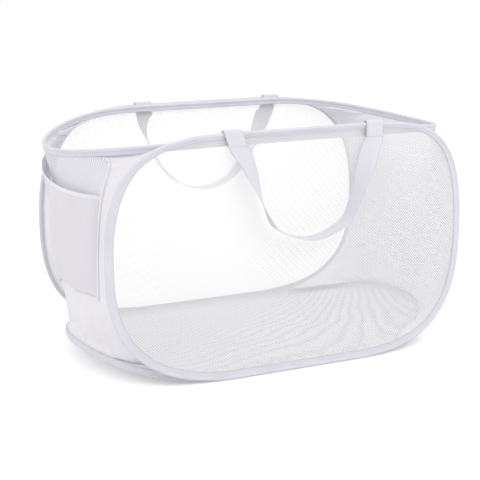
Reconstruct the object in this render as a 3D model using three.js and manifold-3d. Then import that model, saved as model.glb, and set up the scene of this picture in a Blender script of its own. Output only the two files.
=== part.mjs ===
// Pop up laundry hamper: four sprung wire hoops in sewn bindings, a mesh front, back and base,
// cloth ends drawn in between the hoops, a mesh window under a mesh pocket on the left end,
// and two webbing handles.
// Millimetres, +Z up. The front faces -Y, the length runs along X, and the origin is on the floor
// under the middle.
import * as THREE from "three";
import { mergeVertices } from "three/addons/utils/BufferGeometryUtils.js";
import Module from "manifold-3d";

// Overall sizes of the popped up hamper
const depth = 362;
const panelLength = 576;
const panelHeight = 355.5;
const rimLength = 630;
const baseLength = 573;
const footLift = 0.4;

// Form of the front and back hoops
const panelHeadShare = 5.3;
const panelFootShare = 4.15;
const panelUpShare = 2.45;
const panelBow = 24;
const straightShare = 0.38;

// Form of the rim and of the base hoop
const rimBelowTop = 8.7;
const rimBackRise = 7;
const backRiseShare = 3;
const rimDroop = 21;
const rimEndShare = 2.55;
const baseRise = 28;
const baseEndShare = 3.6;
const ringSideShare = 2;
const riseShare = 2.1;

// Sewn binding round each wire
const panelTape = 13;
const headTape = 8.5;
const ringTape = 11;
const tapeCloth = 0.8;
const wireRadius = 0.9;
const crimpWall = 0.4;
const crimpLength = 22;
const clearance = 0.3;

// Cloths
const meshCloth = 0.8;
const endCloth = 0.8;
const pocketCloth = 0.8;
const meshTuck = 6.5;
const meshShares = [0.7, 0.4];
const baseShares = [0.85, 0.6, 0.35];
const endCornerShare = 0.6;
const hoopCornerShare = 0.78;
const endInset = 7;
const foldDepth = 5;
const layerGap = 1.3;

// Window and pocket on the left end
const windowFootShare = 0.28;
const mouthNearShare = 0.75;
const mouthFarShare = 0.92;
const mouthArchShare = 0.05;
const pocketFarShare = 0.96;
const pocketBelly = 15;
const bellyFadeShare = 0.45;
const bellyUpShare = 0.8;
const hemWidth = 7;
const hemCloth = 0.8;
const pipingWidth = 4;
const pipingHeight = 1.4;
const seamFootShare = 0.19;
const seamHeadShare = 0.9;
const seamStepShare = 0.035;
const seamDriftShare = 0.1;
const seamLeanShare = 0.09;
const seamLeanFromShare = 0.55;

// Webbing handles
const strapWidth = 28;
const strapCloth = 1.3;
const handleReach = 15.5;
const tabHeight = 20;

// Each handle hangs in a loop of its own, with points from its middle out as shares: across and down
const frontHandle = {
  name: "front", side: -1, middle: 4, span: 224, drop: 135, twistShare: 1.8,
  loopShares: [[0, 1], [0.45, 0.88], [0.62, 0.68], [0.75, 0.4], [0.87, 0.17], [1, 0]],
};
const backHandle = {
  name: "back", side: 1, middle: 13, span: 230, drop: 132, twistShare: 3.5,
  loopShares: [[0, 1], [0.37, 0.91], [0.6, 0.74], [0.75, 0.55], [0.9, 0.27], [1, 0]],
};

// Main folds of the end cloths, each as shares: across, up, half width, half height and depth
const leftFoldShares = [
  [0.3, 0.16, 0.05, 0.16, 0.9],
  [0.47, 0.12, 0.05, 0.13, -0.8],
  [0.68, 0.14, 0.05, 0.14, 0.7],
  [0.1, 0.2, 0.05, 0.2, -0.6],
  [0.16, 0.75, 0.05, 0.22, 0.5],
];
const rightFoldShares = [
  [0.35, 0.2, 0.07, 0.15, 0.8],
  [0.52, 0.15, 0.06, 0.12, -0.8],
  [0.7, 0.2, 0.06, 0.15, 0.6],
  [0.45, 0.84, 0.06, 0.14, -0.5],
  [0.15, 0.5, 0.05, 0.25, 0.5],
];
const foldFadeShare = 0.33;

// Counts of steps
const quarterSteps = 12;
const ringEndSteps = 10;
const wireSides = 6;
const endColumns = 24;
const endRows = 16;
const settleRounds = 400;
const pocketColumns = 14;
const pocketRows = 10;
const pipingSteps = 12;
const strapSteps = 32;

// Derived sizes
const hexShare = Math.cos(Math.PI / 6);
const crimpRadius = wireRadius + clearance + crimpWall;
const bulbDepth = crimpRadius + clearance + tapeCloth;
const bulbHalf = bulbDepth / hexShare;
const cavityHalf = (bulbDepth - tapeCloth) / hexShare;
const slotHalf = meshCloth / 2 + clearance;
const legHalf = bulbHalf / 2;
const panelPlane = depth / 2 - bulbHalf;
const seamRun = (straightShare * panelLength) / 2;
const baseSeam = panelPlane - 2 * bulbHalf - clearance;
const rimFrontSeam = panelPlane - legHalf - bulbHalf - clearance;
const rimBackSeam = baseSeam;
const strapPlane = depth / 2 + clearance + strapCloth + clearance + strapCloth / 2;
const panelCentre = footLift + straightRise(panelFootShare);
const panelTop = panelCentre + straightRise(panelHeadShare);
const pivotHeight = panelTop - tabHeight;

// Height of the straight run at the head or foot of a panel from the panel's middle
function straightRise(acrossShare) {
  return (panelHeight / 2) * (1 - straightShare ** acrossShare) ** (1 / panelUpShare);
}

const wasm = await Module();
wasm.setup();

// General helpers

function signedPower(value, power) {
  return Math.sign(value) * Math.abs(value) ** power;
}

// 1 in the middle of a share and 0 at its ends
function archShare(share) {
  return 4 * share * (1 - share);
}

function material(color, roughness, metalness = 0) {
  return new THREE.MeshStandardMaterial({ color, roughness, metalness });
}

function mesh(name, geometry, look) {
  const made = new THREE.Mesh(geometry, look);
  made.name = name;
  return made;
}

function geometryFrom(points, triangles) {
  const geometry = new THREE.BufferGeometry();
  const numbers = points.flatMap((point) => point.toArray());
  geometry.setAttribute("position", new THREE.Float32BufferAttribute(numbers, 3));
  geometry.setIndex(triangles.flat());
  const outward = volumeOf(points, triangles) > 0;
  if (!outward) geometry.setIndex(triangles.flatMap(([a, b, c]) => [a, c, b]));
  geometry.computeVertexNormals();
  return geometry;
}

function volumeOf(points, triangles) {
  let total = 0;
  for (const [a, b, c] of triangles) {
    total += points[a].dot(new THREE.Vector3().crossVectors(points[b], points[c]));
  }
  return total;
}

function toManifold(geometry) {
  const bare = geometry.clone();
  bare.deleteAttribute("normal");
  bare.deleteAttribute("uv");
  const merged = mergeVertices(bare);
  return new wasm.Manifold(new wasm.Mesh({
    numProp: 3,
    vertProperties: Float32Array.from(merged.attributes.position.array),
    triVerts: Uint32Array.from(merged.index.array),
  }));
}

function fromManifold(solid) {
  const { vertProperties, triVerts } = solid.getMesh();
  const geometry = new THREE.BufferGeometry();
  geometry.setAttribute("position", new THREE.Float32BufferAttribute(vertProperties, 3));
  geometry.setIndex(Array.from(triVerts));
  geometry.computeVertexNormals();
  return geometry;
}

// Cuts the tools away and keeps the largest body that is left
function cutBack(solid, tools) {
  let left = solid;
  for (const tool of tools) left = left.subtract(tool);
  const bodies = left.decompose();
  bodies.sort((a, b) => b.volume() - a.volume());
  return fromManifold(bodies[0]);
}

function trimmed(geometry, tools) {
  return cutBack(toManifold(geometry), tools);
}

// A frame holds a place, the way out across the tape, and the way through its thickness
function onFrame(frame, out, through) {
  return frame.place.clone().addScaledVector(frame.out, out).addScaledVector(frame.through, through);
}

function sectionPoints(frame, section) {
  return section.map(([out, through]) => onFrame(frame, out, through));
}

// Closed ring whose section, as [out, through] pairs, follows the tape's width at each frame
function ringSweep(frames, sectionFor) {
  const points = frames.flatMap((frame) => sectionPoints(frame, sectionFor(frame.tape)));
  const triangles = [];
  const sides = sectionFor(frames[0].tape).length;
  frames.forEach((_, i) => {
    const here = i * sides;
    const next = ((i + 1) % frames.length) * sides;
    for (let k = 0; k < sides; k += 1) {
      const after = (k + 1) % sides;
      triangles.push([here + k, next + k, next + after], [here + k, next + after, here + after]);
    }
  });
  return geometryFrom(points, triangles);
}

// Run of one section with flat ends
function openSweep(frames, section) {
  const points = frames.flatMap((frame) => sectionPoints(frame, section));
  const triangles = [];
  const sides = section.length;
  for (let i = 0; i + 1 < frames.length; i += 1) {
    const here = i * sides;
    const next = here + sides;
    for (let k = 0; k < sides; k += 1) {
      const after = (k + 1) % sides;
      triangles.push([here + k, next + k, next + after], [here + k, next + after, here + after]);
    }
  }
  const flat = section.map(([out, through]) => new THREE.Vector2(out, through));
  const last = (frames.length - 1) * sides;
  for (const [a, b, c] of THREE.ShapeUtils.triangulateShape(flat, [])) {
    triangles.push([a, b, c], [last + a, last + c, last + b]);
  }
  return geometryFrom(points, triangles);
}

// Upper places of the nodes, then their lower places, half a thickness away on each side
function bothFaces(nodes, half) {
  const moved = (step) => nodes.map((node) => node.place.clone().addScaledVector(node.normal, step));
  return [...moved(half), ...moved(-half)];
}

// Thin closed sheet from a grid of nodes, each a place and a normal
function gridSheet(grid, half) {
  const rows = grid.length;
  const columns = grid[0].length;
  const flat = grid.flat();
  const points = bothFaces(flat, half);
  const under = flat.length;
  const at = (row, column) => row * columns + column;
  const triangles = [];
  for (let r = 0; r + 1 < rows; r += 1) {
    for (let c = 0; c + 1 < columns; c += 1) {
      const [a, b, d, e] = [at(r, c), at(r, c + 1), at(r + 1, c + 1), at(r + 1, c)];
      triangles.push([a, b, d], [a, d, e]);
      triangles.push([under + a, under + d, under + b], [under + a, under + e, under + d]);
    }
  }
  const border = [];
  for (let c = 0; c + 1 < columns; c += 1) border.push(at(0, c));
  for (let r = 0; r + 1 < rows; r += 1) border.push(at(r, columns - 1));
  for (let c = columns - 1; c > 0; c -= 1) border.push(at(rows - 1, c));
  for (let r = rows - 1; r > 0; r -= 1) border.push(at(r, 0));
  border.forEach((a, i) => {
    const b = border[(i + 1) % border.length];
    triangles.push([a, under + a, under + b], [a, under + b, b]);
  });
  return geometryFrom(points, triangles);
}

// Thin closed sheet from closed loops of nodes, outermost first, with a middle node
function loopSheet(loops, middle, half) {
  const flat = [...loops.flat(), middle];
  const count = loops[0].length;
  const points = bothFaces(flat, half);
  const under = flat.length;
  const triangles = [];
  const both = (a, b, c) => triangles.push([a, b, c], [under + a, under + c, under + b]);
  loops.forEach((loop, ring) => {
    loop.forEach((_, i) => {
      const a = ring * count + i;
      const b = ring * count + ((i + 1) % count);
      if (ring + 1 === loops.length) {
        both(a, b, flat.length - 1);
        return;
      }
      both(a, b, b + count);
      both(a, b + count, a + count);
      if (ring === 0) triangles.push([a, under + a, under + b], [a, under + b, b]);
    });
  });
  return geometryFrom(points, triangles);
}

// The front and back hoops: outline, bow and frames

function bowShare(x) {
  return Math.max(0, (Math.abs(x) / (panelLength / 2) - straightShare) / (1 - straightShare));
}

function bowDepth(x) {
  return panelBow * bowShare(x) ** 2;
}

function panelSlope(x) {
  return (-2 * panelBow * bowShare(x) * Math.sign(x)) / ((1 - straightShare) * (panelLength / 2));
}

// Frame on the outer edge of the hoop; side is -1 at the front and 1 at the back
function panelFrame(angle, side) {
  const acrossShare = Math.sin(angle) > 0 ? panelHeadShare : panelFootShare;
  const x = (panelLength / 2) * signedPower(Math.cos(angle), 2 / acrossShare);
  const rise = (panelHeight / 2) * signedPower(Math.sin(angle), 2 / panelUpShare);
  const place = new THREE.Vector3(x, side * (panelPlane - bowDepth(x)), panelCentre + rise);
  const towardX = signedPower(x / (panelLength / 2), acrossShare - 1) * (acrossShare / panelLength);
  const towardZ = signedPower(rise / (panelHeight / 2), panelUpShare - 1) * (panelUpShare / panelHeight);
  const slope = side * panelSlope(x);
  const along = new THREE.Vector3(-towardZ, -towardZ * slope, towardX).normalize();
  const through = new THREE.Vector3(-slope, 1, 0).normalize();
  const out = new THREE.Vector3().crossVectors(through, along).multiplyScalar(-1).normalize();
  if (out.x * towardX + out.z * towardZ < 0) out.negate();
  const tape = THREE.MathUtils.lerp(panelTape, headTape, Math.max(0, out.z) ** 2);
  return { place, out, through, tape };
}

// Frames up one side of the hoop and down the other; the straight runs at the head and the foot
// have a frame at each end and none between, and the foot's run closes the ring
function panelFrames(side) {
  const quarter = Array.from({ length: quarterSteps }, (_, i) => (i / quarterSteps) * (Math.PI / 2));
  const cornerAngles = (acrossShare) => {
    const straightEnd = Math.acos(straightShare ** (acrossShare / 2));
    return [...quarter.filter((angle) => angle < straightEnd), straightEnd];
  };
  const lower = cornerAngles(panelFootShare).slice(1).map((angle) => -angle);
  const oneSide = [...lower.reverse(), ...cornerAngles(panelHeadShare)];
  const otherSide = oneSide.map((angle) => Math.PI - angle).reverse();
  return [...oneSide, ...otherSide].map((angle) => panelFrame(angle, side));
}

// The rim and the base hoop: seams along the panels, with their bow, joined by round ends that
// droop or rise
const rim = {
  reach: rimLength / 2, frontSeam: rimFrontSeam, backSeam: rimBackSeam, endShare: rimEndShare,
  edge: panelTop - rimBelowTop, backRise: rimBackRise, lift: -rimDroop, up: 1,
};
const base = {
  reach: baseLength / 2, frontSeam: baseSeam, backSeam: baseSeam, endShare: baseEndShare,
  edge: 0, backRise: 0, lift: baseRise, up: -1,
};

// turn runs from 0 at the end of a seam to 1 at the tip of the end
function ringFrame(ring, turn, endSide, side) {
  const angle = (turn * Math.PI) / 2;
  const run = Math.sin(angle) ** (2 / ring.endShare);
  const across = Math.cos(angle) ** (2 / ringSideShare);
  const span = ring.reach - seamRun;
  const length = seamRun + span * run;
  const seam = (side < 0 ? ring.frontSeam : ring.backSeam) - bowDepth(length);
  const backShare = (1 + side * across) / 2;
  const height = ring.edge + ring.lift * run ** riseShare + ring.backRise * backShare ** backRiseShare;
  const place = new THREE.Vector3(endSide * length, side * seam * across, height);
  const bowing = (ringSideShare / seam) * panelSlope(length) * across ** ringSideShare;
  const towardX = (ring.endShare / span) * run ** (ring.endShare - 1) - bowing;
  const towardY = (ringSideShare / seam) * across ** (ringSideShare - 1);
  const through = new THREE.Vector3(endSide * towardX, side * towardY, 0).normalize();
  const climb = (riseShare * ring.lift * run ** (riseShare - 1)) / span;
  const tilt = (ring.backRise / (2 * seam)) * backRiseShare * backShare ** (backRiseShare - 1);
  const slope = towardY * climb - side * towardX * tilt;
  const along = new THREE.Vector3(endSide * towardY, -side * towardX, slope).normalize();
  const out = new THREE.Vector3().crossVectors(through, along).normalize();
  if (out.z * ring.up < 0) out.negate();
  return { place, out, through, tape: ringTape };
}

// Frames round both ends; the straight runs have none, and the front one closes the ring
function ringFrames(ring) {
  const outward = Array.from({ length: ringEndSteps + 1 }, (_, i) => i / ringEndSteps);
  const inward = outward.slice(0, -1).reverse();
  const endFrames = (endSide, side) => [
    ...outward.map((turn) => ringFrame(ring, turn, endSide, side)),
    ...inward.map((turn) => ringFrame(ring, turn, endSide, -side)),
  ];
  return [...endFrames(1, -1), ...endFrames(-1, 1)];
}

// Sections of the binding, its envelope, the wire and the crimp, as [out, through] pairs
function tapeSection(width) {
  const middle = -bulbDepth;
  const outer = [[-width, -legHalf], [2 * middle, -legHalf], [middle, -bulbHalf], [0, -legHalf],
    [0, legHalf], [middle, bulbHalf], [2 * middle, legHalf], [-width, legHalf]];
  const far = middle + cavityHalf * hexShare;
  const inner = [[-width, slotHalf], [2 * middle, slotHalf], [middle, cavityHalf], [far, cavityHalf / 2],
    [far, -cavityHalf / 2], [middle, -cavityHalf], [2 * middle, -slotHalf], [-width, -slotHalf]];
  return [...outer, ...inner];
}

function envelopeSection(width) {
  const room = clearance;
  const middle = -bulbDepth;
  return [[-width - room, -legHalf - room], [2 * middle, -legHalf - room], [middle, -bulbHalf - room],
    [room, -legHalf - room], [room, legHalf + room], [middle, bulbHalf + room],
    [2 * middle, legHalf + room], [-width - room, legHalf + room]];
}

function hexSection(flatRadius) {
  return Array.from({ length: wireSides }, (_, k) => {
    const angle = ((k + 0.5) / wireSides) * 2 * Math.PI;
    const radius = flatRadius / hexShare;
    return [-bulbDepth + radius * Math.cos(angle), radius * Math.sin(angle)];
  });
}

// Frame on the run that closes the ring, a length away from the middle of that run
function onClosingRun(frames, length) {
  const [last, first] = [frames.at(-1), frames[0]];
  const share = 0.5 + length / last.place.distanceTo(first.place);
  return {
    place: last.place.clone().lerp(first.place, share),
    out: last.out.clone().lerp(first.out, share).normalize(),
    through: last.through.clone().lerp(first.through, share).normalize(),
  };
}

// The wire is one length bent to a ring, its ends meeting in the crimp
function wireGeometry(frames) {
  const ends = [clearance / 2, -clearance / 2].map((length) => onClosingRun(frames, length));
  return openSweep([ends[0], ...frames, ends[1]], hexSection(wireRadius));
}

function crimpGeometry(frames) {
  const pipe = (half, radius) => toManifold(
    openSweep([onClosingRun(frames, -half), onClosingRun(frames, half)], hexSection(radius)),
  );
  const sleeve = pipe(crimpLength / 2, crimpRadius);
  return fromManifold(sleeve.subtract(pipe(crimpLength, wireRadius + clearance)));
}

// Mesh of the front and the back, its edge tucked in the slot of the binding
function panelMesh(side) {
  const frames = panelFrames(side);
  const tucked = (tuck) => frames.map((frame) => (
    { place: onFrame(frame, -tuck(frame), 0), normal: frame.through }));
  const shrunk = (share) => frames.map((frame) => {
    const x = frame.place.x * share;
    const z = panelCentre + (frame.place.z - panelCentre) * share;
    const normal = new THREE.Vector3(-side * panelSlope(x), 1, 0).normalize();
    return { place: new THREE.Vector3(x, side * (panelPlane - bowDepth(x)), z), normal };
  });
  const middle = {
    place: new THREE.Vector3(0, side * panelPlane, panelCentre),
    normal: new THREE.Vector3(0, 1, 0),
  };
  const edges = [tucked(() => meshTuck), tucked((frame) => frame.tape + meshTuck)];
  return loopSheet([...edges, ...meshShares.map(shrunk)], middle, meshCloth / 2);
}

// Height of the base hoop's lower edge at a length x
function baseClimb(x) {
  const run = Math.max(0, Math.min(1, (Math.abs(x) - seamRun) / (base.reach - seamRun)));
  return base.lift * run ** riseShare;
}

// Mesh of the base, sewn to the inside of the binding beside the wire
function baseMesh() {
  const level = bulbDepth;
  const up = new THREE.Vector3(0, 0, 1);
  const edge = ringFrames(base).map((frame) => (
    { place: onFrame(frame, -level, -bulbHalf - clearance), normal: up }));
  const shrunk = (share) => edge.map((node) => {
    const place = new THREE.Vector3(node.place.x * share, node.place.y * share, 0);
    place.z = level + baseClimb(place.x);
    return { place, normal: up };
  });
  const middle = { place: new THREE.Vector3(0, 0, level), normal: up };
  return loopSheet([edge, ...baseShares.map(shrunk)], middle, meshCloth / 2);
}

// The cloth end: a grid stretched between the base hoop, the rim and the sides of both panels
function endEdges(endSide) {
  const hoopTurn = (Math.PI / 2) * hoopCornerShare;
  const ringAt = (ring, share) => {
    const side = share < 0.5 ? -1 : 1;
    const near = 1 - Math.abs(2 * share - 1);
    const turn = endCornerShare + (1 - endCornerShare) * near;
    return onFrame(ringFrame(ring, turn, endSide, side), -ringTape, 0);
  };
  const hoopAt = (side, share) => {
    const angle = hoopTurn * (2 * share - 1);
    const frame = panelFrame(endSide > 0 ? angle : Math.PI - angle, side);
    return onFrame(frame, -endInset, -side * (bulbHalf + endCloth));
  };
  return {
    foot: (u) => ringAt(base, u),
    head: (u) => ringAt(rim, u),
    near: (v) => hoopAt(-1, v),
    far: (v) => hoopAt(1, v),
  };
}

function stretchedGrid(endSide) {
  const edges = endEdges(endSide);
  const grid = [];
  for (let r = 0; r <= endRows; r += 1) {
    const v = r / endRows;
    const row = [];
    for (let c = 0; c <= endColumns; c += 1) {
      const u = c / endColumns;
      const level = edges.foot(u).lerp(edges.head(u), v);
      const across = edges.near(v).lerp(edges.far(v), u);
      const onRow = r === 0 || r === endRows;
      const onColumn = c === 0 || c === endColumns;
      if (onRow === onColumn) row.push(level.lerp(across, 0.5));
      else row.push(onRow ? level : across);
    }
    grid.push(row);
  }
  for (let round = 0; round < settleRounds; round += 1) {
    for (let r = 1; r < endRows; r += 1) {
      for (let c = 1; c < endColumns; c += 1) {
        const sum = new THREE.Vector3().add(grid[r - 1][c]).add(grid[r + 1][c]);
        grid[r][c].copy(sum.add(grid[r][c - 1]).add(grid[r][c + 1]).multiplyScalar(0.25));
      }
    }
  }
  return grid;
}

// The folds fade out within foldFadeShare of each edge of the cloth
function foldAt(folds, u, v) {
  const edge = Math.min(1, archShare(u) / foldFadeShare) * Math.min(1, archShare(v) / foldFadeShare);
  let total = 0;
  for (const [across, up, width, height, share] of folds) {
    total += share * Math.exp(-(((u - across) / width) ** 2) - ((v - up) / height) ** 2);
  }
  return foldDepth * total * edge;
}

function endGrid(endSide, folds) {
  const withNormals = (grid) => grid.map((row, r) => row.map((place, c) => {
    const across = row[Math.min(endColumns, c + 1)].clone().sub(row[Math.max(0, c - 1)]);
    const up = grid[Math.min(endRows, r + 1)][c].clone().sub(grid[Math.max(0, r - 1)][c]);
    const normal = across.cross(up).normalize();
    if (normal.x * endSide < 0) normal.negate();
    return { place, normal };
  }));
  const smooth = withNormals(stretchedGrid(endSide));
  const folded = smooth.map((row, r) => row.map(({ place, normal }, c) => (
    place.clone().addScaledVector(normal, foldAt(folds, c / endColumns, r / endRows)))));
  return withNormals(folded);
}

// Place and outward normal on the end cloth at shares of its width and height
function onEnd(grid, u, v) {
  const column = u * endColumns;
  const row = v * endRows;
  const [c, r] = [Math.min(endColumns - 1, Math.floor(column)), Math.min(endRows - 1, Math.floor(row))];
  const mix = (key) => {
    const low = grid[r][c][key].clone().lerp(grid[r][c + 1][key], column - c);
    const high = grid[r + 1][c][key].clone().lerp(grid[r + 1][c + 1][key], column - c);
    return low.lerp(high, row - r);
  };
  return { place: mix("place"), normal: mix("normal").normalize() };
}

// The window's sewn edge on the left end, as a share across it at a share of its height
function seamShare(v) {
  const climb = (v - windowFootShare) / (seamHeadShare - windowFootShare);
  const lean = Math.max(0, climb - seamLeanFromShare) ** 2;
  return seamFootShare - seamDriftShare * climb - seamLeanShare * lean;
}

// Seam between the left end cloth and its window, as nodes from the foot up; the piping covers it
function windowSeam(grid) {
  return Array.from({ length: pipingSteps + 1 }, (_, i) => {
    const v = windowFootShare + ((seamHeadShare - windowFootShare) * i) / pipingSteps;
    return onEnd(grid, seamShare(v), v);
  });
}

// Block along X through the window; room moves its sewn edges out into the cloth around it
function windowBlock(grid, room) {
  const seam = windowSeam(grid);
  const sewn = seam.map(({ place }) => new THREE.Vector2(place.y - room, place.z));
  const foot = Array.from({ length: pocketColumns + 1 }, (_, i) => {
    const share = 1 - i / pocketColumns;
    const near = seamShare(windowFootShare);
    const { place } = onEnd(grid, near + (1 - near) * share, windowFootShare);
    return new THREE.Vector2(place.y, place.z - room);
  });
  sewn[0].y -= room;
  const above = panelTop + panelTape;
  const outline = [new THREE.Vector2(depth, foot[0].y), ...foot, ...sewn,
    new THREE.Vector2(sewn.at(-1).x, above), new THREE.Vector2(depth, above)];
  const shape = new THREE.Shape(outline);
  const block = new THREE.ExtrudeGeometry(shape, { depth: rimLength, bevelEnabled: false });
  const [x, y, z] = [new THREE.Vector3(1, 0, 0), new THREE.Vector3(0, 1, 0), new THREE.Vector3(0, 0, 1)];
  block.applyMatrix4(new THREE.Matrix4().makeBasis(y, z, x));
  block.translate(-rimLength, 0, 0);
  return toManifold(block);
}

// Pocket over the window: a loose mesh layer, with a hem along its mouth
function pocketNode(grid, across, up) {
  const arch = mouthArchShare * archShare(across);
  const mouth = mouthNearShare + (mouthFarShare - mouthNearShare) * across + arch;
  const v = windowFootShare + (mouth - windowFootShare) * up;
  const near = seamShare(v) + seamStepShare;
  const node = onEnd(grid, near + (pocketFarShare - near) * across, v);
  const fade = 1 - bellyFadeShare * across;
  const swell = fade * Math.sqrt(archShare(across) * Math.sin(Math.PI * bellyUpShare * up));
  const away = (endCloth + pocketCloth) / 2 + layerGap + pocketBelly * swell;
  return { place: node.place.clone().addScaledVector(node.normal, away), normal: node.normal };
}

function pocketGrid(grid) {
  return Array.from({ length: pocketRows + 1 }, (_, r) => (
    Array.from({ length: pocketColumns + 1 }, (__, c) => (
      pocketNode(grid, c / pocketColumns, r / pocketRows)))));
}

function pocketHem(pocket) {
  const mouth = pocket[pocketRows];
  const below = pocket[pocketRows - 1];
  const away = (pocketCloth + hemCloth) / 2 + clearance + clearance;
  const rows = [0, 1].map((step) => mouth.map((node, c) => {
    const down = below[c].place.clone().sub(node.place).setLength(hemWidth);
    const place = node.place.clone().addScaledVector(down, step).addScaledVector(node.normal, away);
    return { place, normal: node.normal };
  }));
  return gridSheet(rows, hemCloth / 2);
}

function seamPiping(grid) {
  const seam = windowSeam(grid);
  const away = endCloth / 2 + layerGap;
  const frames = seam.map((node, i) => {
    const along = seam[Math.min(pipingSteps, i + 1)].place.clone().sub(seam[Math.max(0, i - 1)].place);
    const place = node.place.clone().addScaledVector(node.normal, away);
    return { place, out: along.cross(node.normal).normalize(), through: node.normal };
  });
  const half = pipingWidth / 2;
  return openSweep(frames, [[-half, 0], [half, 0], [half / 2, pipingHeight], [-half / 2, pipingHeight]]);
}

// Webbing handle: hangs as a loop and turns a quarter on the way down, so that it lies edge on below
function handleNodes({ side, middle, span, drop, twistShare, loopShares }) {
  const at = ([across, down]) => new THREE.Vector3((across * span) / 2, 0, -drop * down);
  const halfLoop = loopShares.map(at);
  const mirrored = halfLoop.slice(1).map((point) => new THREE.Vector3(-point.x, 0, point.z));
  const loop = new THREE.CatmullRomCurve3([...mirrored.reverse(), ...halfLoop]);
  return loop.getSpacedPoints(strapSteps).map((point) => {
    const leftToDrop = THREE.MathUtils.clamp(1 + point.z / drop, 0, 1);
    const turn = (Math.PI / 2) * (1 - leftToDrop ** twistShare);
    const y = side * (strapPlane + handleReach * Math.sin(turn));
    return { place: new THREE.Vector3(middle + point.x, y, pivotHeight - clearance + point.z), turn };
  });
}

function handleStrap(handle) {
  const nodes = handleNodes(handle);
  const face = new THREE.Vector3(0, handle.side, 0);
  const frames = nodes.map(({ place, turn }, i) => {
    const after = nodes[Math.min(strapSteps, i + 1)].place;
    const before = nodes[Math.max(0, i - 1)].place;
    const along = after.clone().sub(before).normalize();
    if (i === 0 || i === strapSteps) along.set(0, 0, i === 0 ? -1 : 1);
    const edge = new THREE.Vector3().crossVectors(along, face).normalize();
    const level = new THREE.Vector3().crossVectors(edge, along).normalize();
    const out = edge.clone().multiplyScalar(Math.cos(turn)).addScaledVector(level, Math.sin(turn));
    const through = new THREE.Vector3().crossVectors(along, out).normalize();
    return { place, out, through };
  });
  const [across, half] = [strapWidth / 2, strapCloth / 2];
  return openSweep(frames, [[-across, -half], [across, -half], [across, half], [-across, half]]);
}

// Sewn end of a handle, on the outside of the top binding
function handleTab(endSide, { side, middle, span }) {
  const geometry = new THREE.BoxGeometry(strapWidth, strapCloth, tabHeight);
  const y = depth / 2 + clearance + strapCloth / 2;
  geometry.translate(middle + (endSide * span) / 2, side * y, panelTop - tabHeight / 2);
  return geometry;
}

// Assembly

const steel = material(0x9a9da1, 0.35, 0.9);
const zinc = material(0x8d9094, 0.45, 0.8);
const binding = material(0xe4e3e9, 0.75);
const netting = material(0xf1f0f3, 0.85);
const cloth = material(0xebe9ef, 0.85);
const webbing = material(0xe2e1e7, 0.8);

const hamper = new THREE.Group();

// Adds a hoop and gives back the space that it takes up, with its clearance
function addHoop(name, frames) {
  hamper.add(mesh(`${name}_wire`, wireGeometry(frames), steel));
  hamper.add(mesh(`${name}_wire_crimp`, crimpGeometry(frames), zinc));
  hamper.add(mesh(`${name}_binding`, ringSweep(frames, tapeSection), binding));
  return toManifold(ringSweep(frames, envelopeSection));
}

const hoops = [
  addHoop("base", ringFrames(base)),
  addHoop("front", panelFrames(-1)),
  addHoop("back", panelFrames(1)),
  addHoop("rim", ringFrames(rim)),
];

hamper.add(mesh("base_mesh", baseMesh(), netting));
hamper.add(mesh("front_mesh", panelMesh(-1), netting));
hamper.add(mesh("back_mesh", panelMesh(1), netting));

const rightGrid = endGrid(1, rightFoldShares);
hamper.add(mesh("right_end_cloth", trimmed(gridSheet(rightGrid, endCloth / 2), hoops), cloth));

const leftGrid = endGrid(-1, leftFoldShares);
const leftEnd = toManifold(gridSheet(leftGrid, endCloth / 2));
hamper.add(mesh("left_end_cloth", cutBack(leftEnd, [...hoops, windowBlock(leftGrid, clearance)]), cloth));
hamper.add(mesh("window_mesh", cutBack(leftEnd.intersect(windowBlock(leftGrid, 0)), hoops), netting));
hamper.add(mesh("window_piping", trimmed(seamPiping(leftGrid), hoops), binding));

const pocket = pocketGrid(leftGrid);
hamper.add(mesh("pocket_mesh", trimmed(gridSheet(pocket, pocketCloth / 2), hoops), netting));
hamper.add(mesh("pocket_hem", trimmed(pocketHem(pocket), hoops), binding));

for (const handle of [frontHandle, backHandle]) {
  hamper.add(mesh(`${handle.name}_handle_strap`, handleStrap(handle), webbing));
  hamper.add(mesh(`${handle.name}_handle_left_tab`, handleTab(-1, handle), webbing));
  hamper.add(mesh(`${handle.name}_handle_right_tab`, handleTab(1, handle), webbing));
}

export default hamper;
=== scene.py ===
"""Pop up laundry hamper: cloth, netting, bindings and webbing round wire hoops. Metres, +Z up."""
import math

import bpy
import numpy as np
from mathutils import Matrix, Vector


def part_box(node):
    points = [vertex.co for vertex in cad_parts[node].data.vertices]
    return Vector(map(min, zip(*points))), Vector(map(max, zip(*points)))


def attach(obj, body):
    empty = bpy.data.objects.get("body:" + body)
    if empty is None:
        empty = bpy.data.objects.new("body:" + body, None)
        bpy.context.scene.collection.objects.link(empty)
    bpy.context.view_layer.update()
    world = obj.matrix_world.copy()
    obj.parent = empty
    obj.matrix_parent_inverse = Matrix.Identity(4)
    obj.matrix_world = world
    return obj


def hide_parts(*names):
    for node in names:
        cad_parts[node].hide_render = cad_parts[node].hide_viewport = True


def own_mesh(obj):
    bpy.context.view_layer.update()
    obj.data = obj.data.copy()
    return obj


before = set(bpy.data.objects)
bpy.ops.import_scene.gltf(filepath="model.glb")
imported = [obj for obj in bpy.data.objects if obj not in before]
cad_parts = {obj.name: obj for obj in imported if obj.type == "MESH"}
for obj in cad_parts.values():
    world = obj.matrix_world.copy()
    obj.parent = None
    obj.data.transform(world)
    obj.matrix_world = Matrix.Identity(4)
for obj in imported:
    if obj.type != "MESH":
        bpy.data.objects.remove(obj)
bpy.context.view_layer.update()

MM = 0.001
TINY = 1e-12
SAME_PLACE = 0.001 * MM
WELD_REACH = 0.01 * MM

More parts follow.
